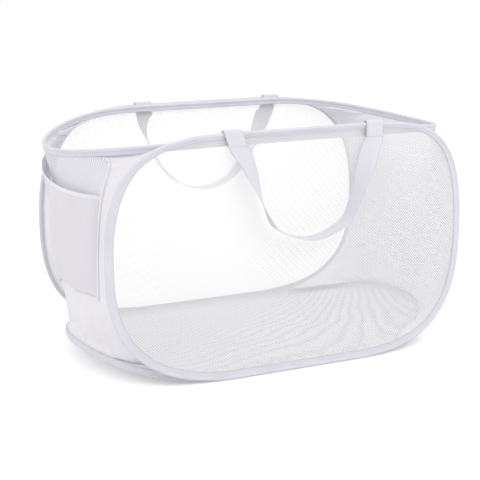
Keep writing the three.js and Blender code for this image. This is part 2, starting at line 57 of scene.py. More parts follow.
# Form of the front and back hoops
DEPTH = 362 * MM
PANEL_LENGTH = 576 * MM
PANEL_HEIGHT = 355.5 * MM
FOOT_LIFT = 0.4 * MM
PANEL_HEAD_SHARE = 5.3
PANEL_FOOT_SHARE = 4.15
PANEL_UP_SHARE = 2.45
PANEL_BOW = 24 * MM
STRAIGHT_SHARE = 0.38

# Form of the rim and of the base hoop
RIM_LENGTH = 630 * MM
BASE_LENGTH = 573 * MM
RIM_BELOW_TOP = 8.7 * MM
RIM_BACK_RISE = 7 * MM
BACK_RISE_SHARE = 3
RIM_DROOP = 21 * MM
RIM_END_SHARE = 2.55
BASE_RISE = 28 * MM
BASE_END_SHARE = 3.6
RING_SIDE_SHARE = 2
RISE_SHARE = 2.1

# Bindings and their stitches
PANEL_TAPE = 13 * MM
HEAD_TAPE = 8.5 * MM
RING_TAPE = 11 * MM
BULB_DEPTH = 2.7 * MM
BULB_HALF = BULB_DEPTH / math.cos(math.pi / 6)
BULB_DEGREES = 150
BULB_STEPS = 9
BULB_FULL_SHARE = 0.94
LEG_HALF = BULB_HALF / 2
LEG_SHARES = (0.0, 0.2, 0.4, 0.6, 0.8, 0.93, 1.0)
LEG_THICK_SHARES = (0.72, 0.6, 0.56, 0.56, 0.62, 0.6, 0.36)
LEG_FULL_SHARE = 1.15
# Share of the tape's width, from its inner edge, that gets painted shade
EDGE_SHADE_SHARE = 0.18
CLEARANCE = 0.3 * MM
HOOP_STEP = 4 * MM
HOOP_SAMPLES = 2880
RING_SAMPLES = 360
HOOP_PHASE = 1.3
PUCKER = 0.5 * MM
PUCKER_COUNTS = (61, 97, 149, 211)
WANDER = 0.35 * MM
WANDER_COUNTS = (17, 29, 43)
RIPPLE_TURN = 1.7
RIPPLE_FADE = 0.35
STITCH_PITCH = 4.2 * MM
STITCH_LENGTH = 2.9 * MM
STITCH_HALF = 0.24 * MM
STITCH_INSET = 1.9 * MM
STITCH_SINK_SHARE = 0.66
STITCH_FORM = ((-0.5, 0.35), (-0.3, 1.0), (0.3, 1.0), (0.5, 0.35))
STITCH_CORNERS = ((-1, 0), (0, 1), (1, 0), (0, -1))

# Nets of the front, the back and the base. Waves: radians in a metre along one way, their sway and
# its radians, radians along the other way, and how late they fade at the edge
NET_TUCK = 6.5 * MM
NET_STEP = 8 * MM
NET_RINGS = 28
NET_MIDDLE_SHARE = 0.05
PANEL_SAG = 1.2 * MM
PANEL_WAVES = (34, 3, 21, 27, 8)
BASE_SLACK = 1.1 * MM
BASE_WAVES = (31, 2, 24, 29, 6)
GATHER_HEIGHT = 1.3 * MM
GATHER_SHARE = 0.86
GATHER_WIDTH_SHARE = 0.09
GATHER_BACK_SHARE = 0.4
GATHER_WAVES = (150, 2, 40, 0.6, 95)

# End cloths, window and pocket, with shares across and up the end
END_CORNER_SHARE = 0.52
HOOP_CORNER_SHARE = 0.84
END_INSET = 7 * MM
END_CLOTH = 0.8 * MM
END_COLUMNS = 96
END_ROWS = 72
SMOOTHING_ROUNDS = 6000
WINDOW_FOOT_SHARE = 0.28
WINDOW_FAR_SHARE = 0.95
FOOT_RISE_SHARE = 0.045
FOOT_RISE_WIDTH_SHARE = 0.16
SEAM_FOOT_SHARE = 0.2
SEAM_HEAD_SHARE = 0.9
SEAM_DRIFT_SHARE = 0.1
SEAM_LEAN_SHARE = 0.09
SEAM_LEAN_FROM_SHARE = 0.55
SEAM_HOOK_SHARE = 0.15
SEAM_HOOK_FROM_SHARE = 0.8
SIDE_COLUMNS = 24
WINDOW_COLUMNS = 72
FAR_COLUMNS = 8
LOW_ROWS = 23
HIGH_ROWS = 55
LAYER_GAP = 1.3 * MM
SEWN_SHARE = 0.06
MOUTH_NEAR_SHARE = 0.75
MOUTH_FAR_SHARE = 0.92
MOUTH_ARCH_SHARE = 0.05
POCKET_FAR_SHARE = 0.945
POCKET_TUCK_SHARE = 0.006
POCKET_BELLY = 15 * MM
POCKET_SLACK = 1.2 * MM
POCKET_WAVES = (14, 5)
POCKET_COLUMNS = 60
POCKET_ROWS = 44
BELLY_FADE_SHARE = 0.45
BELLY_UP_SHARE = 0.8
KNIT_SHIFT = (0.7 * MM, 0.5 * MM)
HEM_WIDTH = 6 * MM
HEM_HALF = 0.45 * MM
HEM_FULL_SHARE = 1.2
HEM_FULL_AT = 2 * MM
HEM_TAPER = 1 * MM
HEM_ROLL = 0.6 * MM
HEM_NOSE = 1.1 * MM
HEM_ROWS = 3
PIPING_RADIUS = 1.5 * MM
PIPING_WIDE_SHARE = 1.3
PIPING_SEAT_SHARE = 0.6
PIPING_SIDES = 12
PIPING_STEPS = 90
PIPING_OVERRUN_SHARES = (0.01, 0.07)

# Folds of each end: where across, where up, how wide, how tall and their share of the depth
FOLD_DEPTH = 5 * MM
LEFT_PHASE = 1.9
LEFT_FOLD_SHARES = [
    (0.3, 0.16, 0.05, 0.16, 0.9),
    (0.47, 0.12, 0.05, 0.13, -0.8),
    (0.68, 0.14, 0.05, 0.14, 0.7),
    (0.1, 0.2, 0.05, 0.2, -0.6),
    (0.16, 0.75, 0.05, 0.22, 0.5),
    (0.15, 0.4, 0.022, 0.12, -0.8),
    (0.36, 0.13, 0.03, 0.12, 0.6),
    (0.27, 0.12, 0.028, 0.1, -0.55),
    (0.66, 0.1, 0.2, 0.09, -1.5),
]
RIGHT_PHASE = 0.4
RIGHT_FOLD_SHARES = [
    (0.35, 0.2, 0.07, 0.15, 0.8),
    (0.52, 0.15, 0.06, 0.12, -0.8),
    (0.7, 0.2, 0.06, 0.15, 0.6),
    (0.45, 0.84, 0.06, 0.14, -0.5),
    (0.15, 0.5, 0.05, 0.25, 0.5),
]
FOLD_FADE_SHARE = 0.33

# Wrinkles: count across the end, and their sway and its rate. Gathered cloth: how high up, how far
# and how much
WRINKLE_HEIGHT = 1.3 * MM
FINE_WRINKLES = (9, 0.6, 5)
FINER_WRINKLES = (17, 0.4, 7)
FINER_SHARE = 0.6
SLOW_HEIGHT = 0.9 * MM
SLOW_COUNTS = (2.2, 0.9, 1.4, 0.7)
GATHERED_SHARES = ((0.02, 0.12, 1), (0.98, 0.1, 0.6))
WRINKLE_EDGE_SHARE = 0.05

# How the cloth of the ends gives when it hangs
DRAPE_FRAMES = 24
CLOTH_TRAVEL = 7 * MM
CLOTH_SETTINGS = {
    "quality": 6, "mass": 0.12, "shrink_min": -0.004, "bending_stiffness": 0.05,
    "tension_stiffness": 12, "compression_stiffness": 4, "shear_stiffness": 4,
    "tension_damping": 6, "compression_damping": 6, "shear_damping": 6, "air_damping": 3,
}

# Handles
STRAP_WIDTH = 28 * MM
STRAP_CLOTH = 1.3 * MM
STRAP_STEPS = 150
STRAP_START = 12 * MM
SPLINE_STEPS = 59
SECTION_STEPS = 13
SELVEDGE_SHARE = 0.55
SELVEDGE_WIDTH_SHARE = 0.985
HANDLE_REACH = 15.5 * MM
LEAN_POWER = 3
TAB_HEIGHT = 20 * MM
TAB_DROP = 2 * MM
TAB_CROWN = 5 * MM
TAB_CROWN_START = 0.2
TAB_FLAP = 5 * MM
TAB_FOOT_SHARE = 0.95
TAB_STEPS = (16, 12, 5)
HANDLES = [
    {
        "name": "front", "side": -1, "middle": 4 * MM, "span": 224 * MM, "drop": 135 * MM,
        "twists": (1.5, 2.2), "leans": (7 * MM, -1 * MM),
        "loop_shares": [(0, 1), (0.45, 0.88), (0.62, 0.68), (0.75, 0.4), (0.87, 0.17), (1, 0)],
    },
    {
        "name": "back", "side": 1, "middle": 13 * MM, "span": 230 * MM, "drop": 132 * MM,
        "twists": (4, 3.5), "leans": (5 * MM, -3 * MM),
        "loop_shares": [(0, 1), (0.37, 0.91), (0.6, 0.74), (0.75, 0.55), (0.9, 0.27), (1, 0)],
    },
]

# Tints, and greys out of 255
WHITE = (1.0, 1.0, 1.0, 1.0)
PLAIN = (1.0, 1.0, 1.0)
LAVENDER = (1.0, 0.975, 1.03)
LILAC = (1.0, 0.985, 1.08)
TAPE_GREY = 225
THREAD_GREY = 216
CLOTH_GREY = 240
STRAP_GREY = 230
WIRE_GREY = 170
CRIMP_GREY = 150
PATCH_SHADE = 0.97
NET_PATCH_SHADE = 0.96
# Painted shade along a binding's inner edge
FOLD_SHADE = 0.9
METAL_SHADE = 0.9
METAL_ROUGH_SHARES = (0.8, 1.2)
# Webbing tones: painted shade in the rib hollows, faint painted highlight on their tops
RIB_SHADES = (0.93, 1.01)
DISPLAY_TOE = 0.055
DISPLAY_POWER = 2.4

# Threads and weaves
CLOTH_WEAVE = 0.55 * MM
HEM_WEAVE = 0.6 * MM
THREAD_TWIST = 0.5 * MM
WEAVE_DEPTH = 0.12 * MM
CREASE_DEPTH = 1.2 * MM
TWILL_PITCH = 0.9 * MM
TWILL_SLANT = 1.6
TWILL_DEPTH = 0.1 * MM
RIB_PITCH = 2.3 * MM
RIB_SWAY = 0.5 * MM
PICK_PITCH = 1.1 * MM
PICK_SHARE = 0.5
RIB_DEPTH = 0.25 * MM
KNIT_DEPTH = 0.25 * MM
KNIT_SLANT = math.radians(45)
KNIT_SOFT_SHARE = 0.25

# Nets: grey, tint, pitch, width of a thread, and cover and tone between the threads
NETS = {
    "panel_net": (243, PLAIN, 3.2 * MM, 0.83 * MM, 0.0, 1.0),
    "back_net": (243, PLAIN, 2.4 * MM, 0.65 * MM, 0.0, 1.0),
    # The base net's dark tone between its threads is painted shadow of the floor beneath it
    "base_net": (246, LAVENDER, 3.2 * MM, 1.2 * MM, 0.92, 0.7),
    "window_net": (219, LILAC, 2.2 * MM, 1.1 * MM, 0.4, 0.92),
    "pocket_net": (235, LAVENDER, 2.2 * MM, 1.1 * MM, 0.3, 0.93),
}

# Floor and light
FLOOR_REACH = 6.0
FLOOR_DROP = 0.2 * MM
FLOOR_COLOUR = (0.9, 0.9, 0.9, 1.0)
FLOOR_GLOW = 0.32
ROOM_STRENGTH = 0.9
LAMP_SIZE = 1.8

# Lamps: name, place, aim and power
LAMPS = [
    ("key", (0.9, -2.0, 2.2), (0, 0, 0.2), 18),
    ("fill", (-2.2, -1.2, 2.4), (0, 0, 0.2), 7),
    ("side", (-2.6, 1.0, 1.6), (0, 0, 0.2), 8),
    ("top", (0.2, 0.9, 2.6), (0, 0, 0.1), 5),
]

# Camera of the photograph
CAMERA_PLACE = (-0.7956, -1.6546, 0.5902)
CAMERA_YAW = 0.442
CAMERA_PITCH = 0.233
CAMERA_ROLL = -0.004
CAMERA_FOCAL_PX = 1209.3
CAMERA_FAR = 50
PHOTO_PX = 480
SENSOR_MM = 36

panel_plane = DEPTH / 2 - BULB_HALF
seam_run = STRAIGHT_SHARE * PANEL_LENGTH / 2
base_seam = panel_plane - 2 * BULB_HALF - CLEARANCE
rim_front_seam = panel_plane - LEG_HALF - BULB_HALF - CLEARANCE
strap_plane = DEPTH / 2 + CLEARANCE + STRAP_CLOTH + CLEARANCE + STRAP_CLOTH / 2


def straight_rise(across_share):
    return PANEL_HEIGHT / 2 * (1 - STRAIGHT_SHARE ** across_share) ** (1 / PANEL_UP_SHARE)


panel_centre = FOOT_LIFT + straight_rise(PANEL_FOOT_SHARE)
panel_top = panel_centre + straight_rise(PANEL_HEAD_SHARE)
pivot_height = panel_top - TAB_HEIGHT


# Mathematics on arrays

def signed_power(value, power):
    return np.sign(value) * np.abs(value) ** power


def unit(vectors):
    return vectors / np.maximum(np.linalg.norm(vectors, axis=-1, keepdims=True), TINY)


def ripple(along, whole, counts, phase):
    """Uneven waves along a line, from -1 to 1, that join up at its end."""
    total = np.zeros_like(along)
    for i, count in enumerate(counts):
        wave = np.sin(2 * math.pi * count * along / whole + phase + RIPPLE_TURN * i)
        total += wave / (1 + RIPPLE_FADE * i)
    return total / len(counts)


def lengths_along(points, closed=False):
    """Length along the line at each point; a closed line gets one more, for its end."""
    line = np.vstack([points, points[:1]]) if closed else points
    steps = np.linalg.norm(np.diff(line, axis=0), axis=1)
    return np.concatenate([[0], np.cumsum(steps)])


def interpolated(wanted, at, values):
    """Values at the wanted lengths, from values at known ones."""
    if values.ndim == 1:
        return np.interp(wanted, at, values)
    return np.stack([np.interp(wanted, at, column) for column in values.T], -1)


def arch(share):
    return 4 * share * (1 - share)


def hill(share, middle, width):
    return np.exp(-((share - middle) / width) ** 2)


# Hoops: dicts of arrays, with a place, a way out, a way through and the tape's width

def bow_share(x):
    return np.maximum(0, (np.abs(x) / (PANEL_LENGTH / 2) - STRAIGHT_SHARE) / (1 - STRAIGHT_SHARE))


def bow_depth(x):
    return PANEL_BOW * bow_share(x) ** 2


def panel_slope(x):
    return -2 * PANEL_BOW * bow_share(x) * np.sign(x) / ((1 - STRAIGHT_SHARE) * PANEL_LENGTH / 2)


def panel_frames(angle, side):
    angle = np.asarray(angle, float)
    across = np.where(np.sin(angle) > 0, PANEL_HEAD_SHARE, PANEL_FOOT_SHARE)
    x = PANEL_LENGTH / 2 * signed_power(np.cos(angle), 2 / across)
    rise = PANEL_HEIGHT / 2 * signed_power(np.sin(angle), 2 / PANEL_UP_SHARE)
    level = np.where(rise > 0, straight_rise(PANEL_HEAD_SHARE), straight_rise(PANEL_FOOT_SHARE))
    on_run = np.abs(x) < seam_run
    rise = np.where(on_run, np.sign(rise) * level, rise)
    toward_x = signed_power(x / (PANEL_LENGTH / 2), across - 1) * across / PANEL_LENGTH
    toward_x = np.where(on_run, 0, toward_x)
    toward_z = signed_power(rise / (PANEL_HEIGHT / 2), PANEL_UP_SHARE - 1) * PANEL_UP_SHARE / PANEL_HEIGHT
    slope = side * panel_slope(x)
    place = np.stack([x, side * (panel_plane - bow_depth(x)), panel_centre + rise], -1)
    along = unit(np.stack([-toward_z, -toward_z * slope, toward_x], -1))
    through = unit(np.stack([-slope, np.ones_like(x), np.zeros_like(x)], -1))
    out = unit(-np.cross(through, along))
    flip = np.where(out[..., 0] * toward_x + out[..., 2] * toward_z < 0, -1.0, 1.0)
    out = out * flip[..., None]
    tape = PANEL_TAPE + (HEAD_TAPE - PANEL_TAPE) * np.maximum(0, out[..., 2]) ** 2
    return {"place": place, "out": out, "through": through, "tape": tape}


RIM = {
    "reach": RIM_LENGTH / 2, "front_seam": rim_front_seam, "back_seam": base_seam, "share": RIM_END_SHARE,
    "edge": panel_top - RIM_BELOW_TOP, "back_rise": RIM_BACK_RISE, "lift": -RIM_DROOP, "up": 1,
}
BASE = {
    "reach": BASE_LENGTH / 2, "front_seam": base_seam, "back_seam": base_seam, "share": BASE_END_SHARE,
    "edge": 0.0, "back_rise": 0.0, "lift": BASE_RISE, "up": -1,
}


def ring_frames(ring, turn, end_side, side):
    """Frames on one quarter of a ring, from 0 at the end of a seam to 1 at the tip of the end."""
    angle = np.asarray(turn, float) * math.pi / 2
    run = np.maximum(np.sin(angle), 0) ** (2 / ring["share"])
    across = np.maximum(np.cos(angle), 0) ** (2 / RING_SIDE_SHARE)
    span = ring["reach"] - seam_run
    length = seam_run + span * run
    seam = np.where(side < 0, ring["front_seam"], ring["back_seam"]) - bow_depth(length)
    back_share = (1 + side * across) / 2
    back_rise = ring["back_rise"] * back_share ** BACK_RISE_SHARE
    height = ring["edge"] + ring["lift"] * run ** RISE_SHARE + back_rise
    place = np.stack([end_side * length, side * seam * across, height], -1)
    bowing = RING_SIDE_SHARE / seam * panel_slope(length) * across ** RING_SIDE_SHARE
    toward_x = ring["share"] / span * run ** (ring["share"] - 1) - bowing
    toward_y = RING_SIDE_SHARE / seam * across ** (RING_SIDE_SHARE - 1)
    climb = RISE_SHARE * ring["lift"] * run ** (RISE_SHARE - 1) / span
    through = unit(np.stack([end_side * toward_x, side * toward_y, np.zeros_like(run)], -1))
    tilt = ring["back_rise"] / (2 * seam) * BACK_RISE_SHARE * back_share ** (BACK_RISE_SHARE - 1)
    slope = toward_y * climb - side * toward_x * tilt
    along = unit(np.stack([end_side * toward_y, -side * toward_x, slope], -1))
    out = unit(np.cross(through, along))
    out = out * np.where(out[..., 2] * ring["up"] < 0, -1.0, 1.0)[..., None]
    return {"place": place, "out": out, "through": through, "tape": np.full(run.shape, RING_TAPE)}


def frames_at(hoop, lengths):
    """Frames of a closed hoop at the given lengths."""
    at = np.concatenate([hoop["along"], [hoop["whole"]]])
    frames = {}
    for key in ("place", "out", "through", "tape"):
        ring = np.concatenate([hoop[key], hoop[key][:1]])
        frames[key] = interpolated(lengths % hoop["whole"], at, ring)
    return frames


def even_steps(hoop, step):
    """The closed hoop, with frames an even step apart."""
    place = hoop["place"]
    keep = np.linalg.norm(place - np.roll(place, 1, axis=0), axis=1) > SAME_PLACE
    hoop = {key: value[keep] for key, value in hoop.items()}
    at = lengths_along(hoop["place"], closed=True)
    hoop.update(along=at[:-1], whole=at[-1])
    count = int(round(at[-1] / step))
    even = frames_at(hoop, np.arange(count) * at[-1] / count)
    even["out"] = unit(even["out"])
    even["through"] = unit(even["through"])
    even.update(along=np.arange(count) * at[-1] / count, whole=at[-1])
    return even


def panel_hoop(side, step=HOOP_STEP):
    return even_steps(panel_frames(np.linspace(0, 2 * math.pi, HOOP_SAMPLES + 1)[:-1], side), step)


def ring_hoop(ring, step=HOOP_STEP):
    outward = np.linspace(0, 1, RING_SAMPLES)
    parts = []
    for end_side, side in ((1, -1), (-1, 1)):
        parts.append(ring_frames(ring, outward, end_side, side))
        parts.append(ring_frames(ring, outward[::-1], end_side, -side))
    return even_steps({key: np.concatenate([part[key] for part in parts]) for key in parts[0]}, step)


def on_frames(frames, out, through):
    """Points a way out and a way through from the frames."""
    out = np.asarray(out)[..., None]
    through = np.asarray(through)[..., None]
    return frames["place"] + frames["out"] * out + frames["through"] * through


# Meshes

def linked(name, data):
    """New object of a mesh, a lamp or a camera."""
    made = bpy.data.objects.new(name, data)
    bpy.context.scene.collection.objects.link(made)
    return made


def mesh_object(name, points, faces, uv=None, material=None):
    """Smooth object from points, faces and one UV pair for each corner of each face."""
    data = bpy.data.meshes.new(name)
    data.from_pydata([tuple(p) for p in np.asarray(points, float)], [], [tuple(map(int, f)) for f in faces])
    if uv is not None:
        layer = data.uv_layers.new(name="metres")
        layer.data.foreach_set("uv", np.asarray(uv, np.float32).ravel())
    data.update()
    data.polygons.foreach_set("use_smooth", np.ones(len(data.polygons), bool))
    if material:
        data.materials.append(material)
    return linked(name, data)


def lattice(rows, columns, loop_rows=False, loop_columns=False):
    """Faces of a grid of points, and each corner's row and column without wrapping round."""
    i = np.arange(rows if loop_rows else rows - 1)
    j = np.arange(columns if loop_columns else columns - 1)
    i, j = [a.ravel() for a in np.meshgrid(i, j, indexing="ij")]
    steps = ((0, 0), (0, 1), (1, 1), (1, 0))
    corners = np.stack([np.stack([i + down, j + across], -1) for down, across in steps], 1)
    faces = (corners[..., 0] % rows) * columns + corners[..., 1] % columns
    return faces, corners


def grid_piece(name, points, uv, material, loop_rows=False, loop_columns=False):
    """Sheet or tube of a grid of points; uv has the row and the column past a joined end too."""
    rows, columns = points.shape[:2]
    faces, corners = lattice(rows, columns, loop_rows, loop_columns)
    pairs = uv[corners[..., 0], corners[..., 1]]
    return mesh_object(name, points.reshape(-1, 3), faces, pairs, material)


def choose(*pieces):
    """Selects these pieces only."""
    bpy.ops.object.select_all(action="DESELECT")
    for piece in pieces:
        piece.select_set(True)
    bpy.context.view_layer.objects.active = pieces[0]


def mended(piece, step, **values):
    """Does one mesh step on the whole piece, and turns all its faces one way."""
    choose(piece)
    bpy.ops.object.mode_set(mode="EDIT")
    bpy.ops.mesh.select_all(action="SELECT")
    step(**values)
    bpy.ops.mesh.normals_make_consistent(inside=False)
    bpy.ops.object.mode_set(mode="OBJECT")
    return piece


def welded(piece):
    """Joins the points that share a place."""
    return mended(piece, bpy.ops.mesh.remove_doubles, threshold=WELD_REACH)


def uv_grid(along, across):
    """UV pairs in metres, from lengths along the rows and the columns."""
    return np.stack(np.meshgrid(along, across, indexing="ij"), -1)


# Materials

class Nodes:
    """Short ways to add and join shader nodes."""

    def __init__(self, tree):
        self.tree = tree

    def fill(self, node, inputs):
        """Sets a node's inputs, or joins them to other nodes."""
        for name, value in inputs.items():
            if isinstance(value, bpy.types.NodeSocket):
                self.tree.links.new(value, node.inputs[name])
            else:
                node.inputs[name].default_value = value

    def add(self, kind, inputs=None, output=0, **values):
        """New node's output."""
        node = self.tree.nodes.new(kind)
        for key, value in values.items():
            setattr(node, key, value)
        self.fill(node, inputs or {})
        return node.outputs[output]

    def math(self, operation, a, b=0.0, clamp=False):
        return self.add("ShaderNodeMath", {0: a, 1: b}, operation=operation, use_clamp=clamp)

    def uv(self):
        pair = self.add("ShaderNodeUVMap", uv_map="metres")
        first = self.add("ShaderNodeSeparateXYZ", {0: pair})
        return first, first.node.outputs[1]

    def noise(self, scale, detail, roughness=0.5):
        place = self.add("ShaderNodeTexCoord", output="Object")
        inputs = {"Scale": scale, "Detail": detail, "Roughness": roughness, "Vector": place}
        return self.add("ShaderNodeTexNoise", inputs, "Fac")

    def span(self, value, low, high, to_low=0.0, to_high=1.0):
        inputs = {"Value": value, "From Min": low, "From Max": high, "To Min": to_low, "To Max": to_high}
        return self.add("ShaderNodeMapRange", inputs, "Result")

    def mix(self, share, first, second):
        inputs = {"Factor": share, "A": first, "B": second}
        return self.add("ShaderNodeMix", inputs, "Result", data_type="RGBA")

    def wave(self, along, pitch):
        """Sine wave along a length, from -1 to 1."""
        return self.math("SINE", self.math("MULTIPLY", along, 2 * math.pi / pitch))

    def threads(self, along, pitch, width):
        """1 on the threads of one direction and 0 between them."""
        share = self.math("FRACT", self.math("DIVIDE", along, pitch))
        away = self.math("ABSOLUTE", self.math("SUBTRACT", share, 0.5))
        edge = width / pitch / 2
        return self.span(away, edge * (1 - KNIT_SOFT_SHARE), edge * (1 + KNIT_SOFT_SHARE), 1.0, 0.0)

    def bump(self, height, distance, strength, before=None):
        inputs = {"Height": height, "Distance": distance, "Strength": strength}
        if before:
            inputs["Normal"] = before
        return self.add("ShaderNodeBump", inputs, "Normal")


def node_material(name):
    """New material, with its nodes and its main shader."""
    made = bpy.data.materials.new(name)
    made.use_nodes = True
    return made, Nodes(made.node_tree), made.node_tree.nodes["Principled BSDF"]


def grey(level, tint=PLAIN):
    """Linear colour of an 8 bit display grey with a tint."""
    share = level / 255
    linear = ((share + DISPLAY_TOE) / (1 + DISPLAY_TOE)) ** DISPLAY_POWER
    return tuple(min(1.0, linear * t) for t in tint) + (1.0,)


def cloth_material(name, level, tint, pitch):
    """Plain weave of crossed threads, with faint creases."""
    made, nodes, shader = node_material(name)
    u, v = nodes.uv()
    weave = nodes.math("MULTIPLY", nodes.wave(u, pitch), nodes.wave(v, pitch))
    crease = nodes.bump(nodes.noise(scale=38, detail=4, roughness=0.6), CREASE_DEPTH, strength=0.35)
    patch = nodes.span(nodes.noise(scale=9, detail=3), 0.35, 0.65)
    nodes.fill(shader, {
        "Base Color": nodes.mix(patch, grey(level * PATCH_SHADE, tint), grey(level, tint)),
        "Normal": nodes.bump(weave, WEAVE_DEPTH, strength=0.5, before=crease),
        "Roughness": 0.85, "Sheen Weight": 0.25, "Specular IOR Level": 0.25,
    })
    return made


def binding_material(name, level, tint):
    """Fine twill, with painted shade along its inner edge, where the tape folds."""
    made, nodes, shader = node_material(name)
    u, v = nodes.uv()
    twill = nodes.wave(nodes.math("ADD", u, nodes.math("MULTIPLY", v, TWILL_SLANT)), TWILL_PITCH)
    patch = nodes.span(nodes.noise(scale=24, detail=3), 0.3, 0.7)
    colour = nodes.mix(patch, grey(level * PATCH_SHADE, tint), grey(level, tint))
    # Painted shade along the tape's inner edge, weighted by its edge attribute
    edge = nodes.add("ShaderNodeAttribute", output="Fac", attribute_name="edge")
    nodes.fill(shader, {
        "Base Color": nodes.mix(edge, colour, grey(level * FOLD_SHADE, tint)),
        "Normal": nodes.bump(twill, TWILL_DEPTH, strength=0.5),
        "Roughness": 0.8, "Sheen Weight": 0.2, "Specular IOR Level": 0.25,
    })
    return made


def net_material(name, level, tint, pitch, thread, hole, shade):
    """Knitted net: two slanted sets of threads, with a cover and a tone between them."""
    made, nodes, shader = node_material(name)
    u, v = nodes.uv()
    sets = []
    for way in (1, -1):
        across = nodes.math("MULTIPLY", u, math.sin(KNIT_SLANT))
        up = nodes.math("MULTIPLY", v, way * math.cos(KNIT_SLANT))
        sets.append(nodes.threads(nodes.math("ADD", across, up), pitch, thread))
    cover = nodes.math("MAXIMUM", *sets, clamp=True)
    patch = nodes.span(nodes.noise(scale=14, detail=2), 0.3, 0.7, 0.98, 1.0)
    thread_tone = nodes.mix(patch, grey(level * NET_PATCH_SHADE, tint), grey(level, tint))
    # Tone between the threads: painted shade of what lies behind the net, darkest on the base net for the
    # shadowed floor
    nodes.fill(shader, {
        "Base Color": nodes.mix(cover, grey(level * shade, tint), thread_tone),
        "Alpha": nodes.math("MAXIMUM", cover, hole),
        "Normal": nodes.bump(cover, KNIT_DEPTH, strength=0.6),
        "Roughness": 0.8, "Sheen Weight": 0.15, "Specular IOR Level": 0.2,
    })
    made.surface_render_method = "DITHERED"
    return made


def webbing_material(name, level, tint):
    """Ribs along the strap and a fine herringbone across it, with painted shade in their hollows and a faint
    painted highlight on their tops.
    """
    made, nodes, shader = node_material(name)
    u, v = nodes.uv()
    rib = nodes.wave(v, RIB_PITCH)
    sway = nodes.math("MULTIPLY", nodes.math("ABSOLUTE", rib), RIB_SWAY)
    pick = nodes.wave(nodes.math("ADD", u, sway), PICK_PITCH)
    height = nodes.math("ADD", rib, nodes.math("MULTIPLY", pick, PICK_SHARE))
    # Tone from the rib's height: painted shade in the hollows, faint painted highlight on the tops
    rib_shading = nodes.span(height, -1 - PICK_SHARE, 1 + PICK_SHARE)
    nodes.fill(shader, {
        "Base Color": nodes.mix(rib_shading, *[grey(level * shade, tint) for shade in RIB_SHADES]),
        "Normal": nodes.bump(height, RIB_DEPTH, strength=0.6),
        "Roughness": 0.7, "Sheen Weight": 0.2,
    })
    return made


def metal_material(name, level, rough):
    made, nodes, shader = node_material(name)
    patch = nodes.noise(scale=180, detail=3)
    smooth, rougher = [rough * share for share in METAL_ROUGH_SHARES]
    nodes.fill(shader, {
        "Base Color": nodes.mix(patch, grey(level * METAL_SHADE), grey(level)),
        "Roughness": nodes.span(nodes.noise(scale=320, detail=2), 0.3, 0.7, smooth, rougher),
        "Metallic": 1.0,
    })
    return made


tape_look = binding_material("tape", TAPE_GREY, LILAC)
thread_look = cloth_material("thread", THREAD_GREY, LILAC, THREAD_TWIST)
cloth_look = cloth_material("end_cloth", CLOTH_GREY, LAVENDER, CLOTH_WEAVE)
hem_look = cloth_material("pocket_hem", CLOTH_GREY, LAVENDER, HEM_WEAVE)
strap_look = webbing_material("webbing", STRAP_GREY, LILAC)
wire_look = metal_material("spring_wire", WIRE_GREY, rough=0.35)
crimp_look = metal_material("crimp_sleeve", CRIMP_GREY, rough=0.5)
net_looks = {name: net_material(name, *values) for name, values in NETS.items()}


def stand_in(piece, body, node):
    """Lets a piece ride on its body in the place of a plain solid."""
    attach(piece, body)
    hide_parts(node)


# Bindings with their stitching

def bulb_outline():
    """Ways out and through round the wire's channel, from its outer edge to the neck."""
    angles = np.linspace(0, math.radians(BULB_DEGREES), BULB_STEPS)
    half = BULB_HALF * BULB_FULL_SHARE
    return [(-BULB_DEPTH + BULB_DEPTH * math.cos(a), half * math.sin(a)) for a in angles]


def binding_points(hoop, phase):
    """Points round the tape's section, and how much painted shade each gets near its inner edge."""
    neck = -2 * BULB_DEPTH
    legs = zip(LEG_SHARES, np.array(LEG_THICK_SHARES) * LEG_HALF * LEG_FULL_SHARE)
    pucker = ripple(hoop["along"], hoop["whole"], PUCKER_COUNTS, phase) * PUCKER
    wander = ripple(hoop["along"], hoop["whole"], WANDER_COUNTS, phase + 2) * WANDER
    inner = -(hoop["tape"] + wander)
    half = [(out, through, 0.0) for out, through in bulb_outline()]
    half += [(neck + (inner - neck) * share, thick, share) for share, thick in legs]
    section = half + [(out, -through, share) for out, through, share in half[:0:-1]]
    columns = [on_frames(hoop, out, through + pucker * share) for out, through, share in section]
    edge = np.array([max(0, share - 1 + EDGE_SHADE_SHARE) / EDGE_SHADE_SHARE for _, _, share in section])
    return np.stack(columns, 1), np.tile(edge, (len(inner), 1))


def stitch_row(hoop, face):
    """Points of a row of stitches, each a short tube, on one face of the tape."""
    count = int(hoop["whole"] / STITCH_PITCH)
    centre = (np.arange(count) + 0.5) * hoop["whole"] / count
    surface = face * (LEG_HALF * STITCH_SINK_SHARE)
    points = []
    for step, size in STITCH_FORM:
        frames = frames_at(hoop, centre + step * STITCH_LENGTH)
        for across, up in STITCH_CORNERS:
            out = -(frames["tape"] - STITCH_INSET) + across * size * STITCH_HALF
            points.append(on_frames(frames, out, surface + face * up * size * STITCH_HALF))
    return np.stack(points, 1)


def add_stitches(name, hoop, body):
    points = np.concatenate([stitch_row(hoop, 1), stitch_row(hoop, -1)])
    corners, sides = points.shape[1], len(STITCH_CORNERS)
    tube, _ = lattice(len(STITCH_FORM), sides, False, True)
    stitch = [(0, 3, 2, 1), range(corners - sides, corners), *tube]
    starts = range(0, len(points) * corners, corners)
    faces = [[start + i for i in face] for start in starts for face in stitch]
    uv = np.zeros((sum(map(len, faces)), 2))
    piece = mesh_object(name, points.reshape(-1, 3), faces, uv, thread_look)
    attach(piece, body)


def add_binding(node, hoop, body, phase):
    points, painted_edge_shade = binding_points(hoop, phase)
    along = np.concatenate([hoop["along"], [hoop["whole"]]])
    uv = uv_grid(along, lengths_along(points[0], closed=True))
    piece = grid_piece(node + "_tape", points, uv, tape_look, True, True)
    # Weights of the painted shade along the tape's inner edge
    shade = piece.data.attributes.new("edge", "FLOAT", "POINT")
    shade.data.foreach_set("value", painted_edge_shade.astype(np.float32).ravel())
    stand_in(piece, body, node)
    add_stitches(node + "_stitches", hoop, body)


